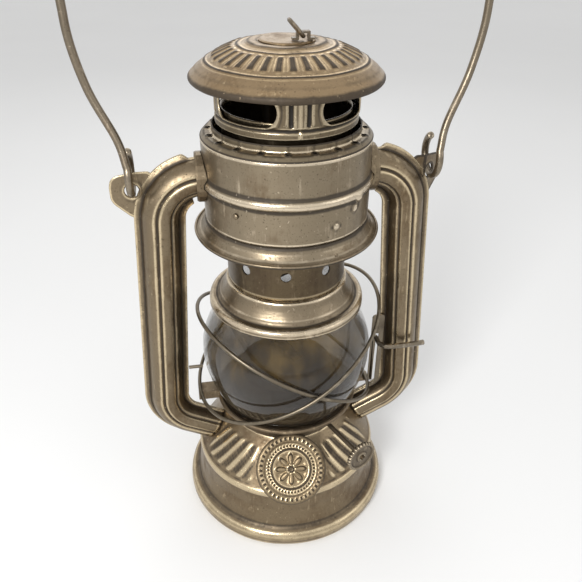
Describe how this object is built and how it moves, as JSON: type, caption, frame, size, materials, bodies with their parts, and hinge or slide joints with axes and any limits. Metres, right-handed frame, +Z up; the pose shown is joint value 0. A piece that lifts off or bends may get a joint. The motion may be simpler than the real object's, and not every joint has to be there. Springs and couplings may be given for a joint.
{
  "type": "hurricane lantern",
  "caption": "Small tubular hurricane lantern of aged tinned steel with amber glass globe, wire guard, sliding chimney, wick knob, screw filler cap and swinging bail.",
  "frame": {"origin": "centre of the base, on the plane it stands on", "axes": "+Z up, -Y the front with the filler cap, the side tubes stand along +X and -X"},
  "size_m": [0.172, 0.1134, 0.2998],
  "materials": {
    "tinned_steel": "aged dull tin, brown patina",
    "burner_metal": "tarnished",
    "sooted_metal": "sooted dark",
    "cotton": "woven flat wick",
    "glass": "clear, smoked brown by use",
    "gasket": "dull"
  },
  "bodies": {
    "frame": {"fount_shell": "tinned_steel", "fount_bottom": "tinned_steel", "burner_collar": "tinned_steel", "filler_neck": "tinned_steel", "air_chamber": "tinned_steel", "burner_body": "burner_metal", "burner_cone": "sooted_metal", "wick_tube": "burner_metal", "chamber_top": "tinned_steel", "chamber_drum": "tinned_steel", "chamber_skirt": "tinned_steel", "tube_left_front": "tinned_steel", "tube_left_back": "tinned_steel", "tube_right_front": "tinned_steel", "tube_right_back": "tinned_steel", "tube_collar_left": "tinned_steel", "tube_collar_right": "tinned_steel", "lift_bracket": "tinned_steel", "guide_peg": "tinned_steel"},
    "globe_carrier": {"gallery_ring": "tinned_steel", "globe": "glass", "guard_hoop_inner": "tinned_steel", "guard_hoop_outer": "tinned_steel"},
    "chimney": {"chimney_tube": "tinned_steel", "globe_plate": "tinned_steel", "vent_collar": "tinned_steel", "hood": "tinned_steel", "hood_crown": "tinned_steel", "ring_staple": "tinned_steel"},
    "ring": {"lifting_ring": "tinned_steel"},
    "bail": {"bail": "tinned_steel"},
    "lever": {"lift_lever": "tinned_steel"},
    "wick": {"wick": "cotton"},
    "wick_raiser": {"wick_shaft": "tinned_steel", "wick_wheel_inner": "tinned_steel", "wick_wheel_outer": "tinned_steel", "wick_knob": "tinned_steel"},
    "cap_seal": {"cap_gasket": "gasket"},
    "cap": {"filler_cap": "tinned_steel"}
  },
  "joints": [
    {"name": "lever_turn", "type": "hinge", "parent": "frame", "child": "lever", "pos_m": [0.0487, 0.00085, 0.0628], "axis": [1, 0, 0], "range_deg": [0, 70]},
    {"name": "globe_lift", "type": "slide", "parent": "frame", "child": "globe_carrier", "axis": [0, 0, 1], "range_m": [0, 0.01]},
    {"name": "chimney_lift", "type": "slide", "parent": "globe_carrier", "child": "chimney", "axis": [0, 0, 1], "range_m": [0, 0.012]},
    {"name": "ring_swing", "type": "hinge", "parent": "chimney", "child": "ring", "pos_m": [0.0055, -0.0055, 0.2484], "axis": [0, 1, 0], "range_deg": [-36, 120]},
    {"name": "bail_swing", "type": "hinge", "parent": "frame", "child": "bail", "pos_m": [0, 0, 0.1941], "axis": [1, 0, 0], "range_deg": [-105, 95]},
    {"name": "wick_turn", "type": "hinge", "parent": "frame", "child": "wick_raiser", "pos_m": [0.00411, 0.00183, 0.0602], "axis": [0.4067, -0.9135, 0], "range_deg": [-142, 214]},
    {"name": "wick_rise", "type": "slide", "parent": "frame", "child": "wick", "axis": [0, 0, 1], "range_m": [-0.012, 0.008]},
    {"name": "cap_turn", "type": "hinge", "parent": "cap_seal", "child": "cap", "pos_m": [-0.00459, -0.04029, 0.0445], "axis": [-0.0887, -0.7781, 0.6219], "range_deg": [0, 330]},
    {"name": "cap_rise", "type": "slide", "parent": "frame", "child": "cap_seal", "axis": [-0.0887, -0.7781, 0.6219], "range_m": [0, 0.0024]}
  ],
  "couplings": [
    {"joint": "globe_lift", "follows": "lever_turn", "m_per_rad": 0.008184},
    {"joint": "wick_rise", "follows": "wick_turn", "m_per_rad": -0.0032},
    {"joint": "cap_rise", "follows": "cap_turn", "m_per_rad": 0.0004}
  ]
}
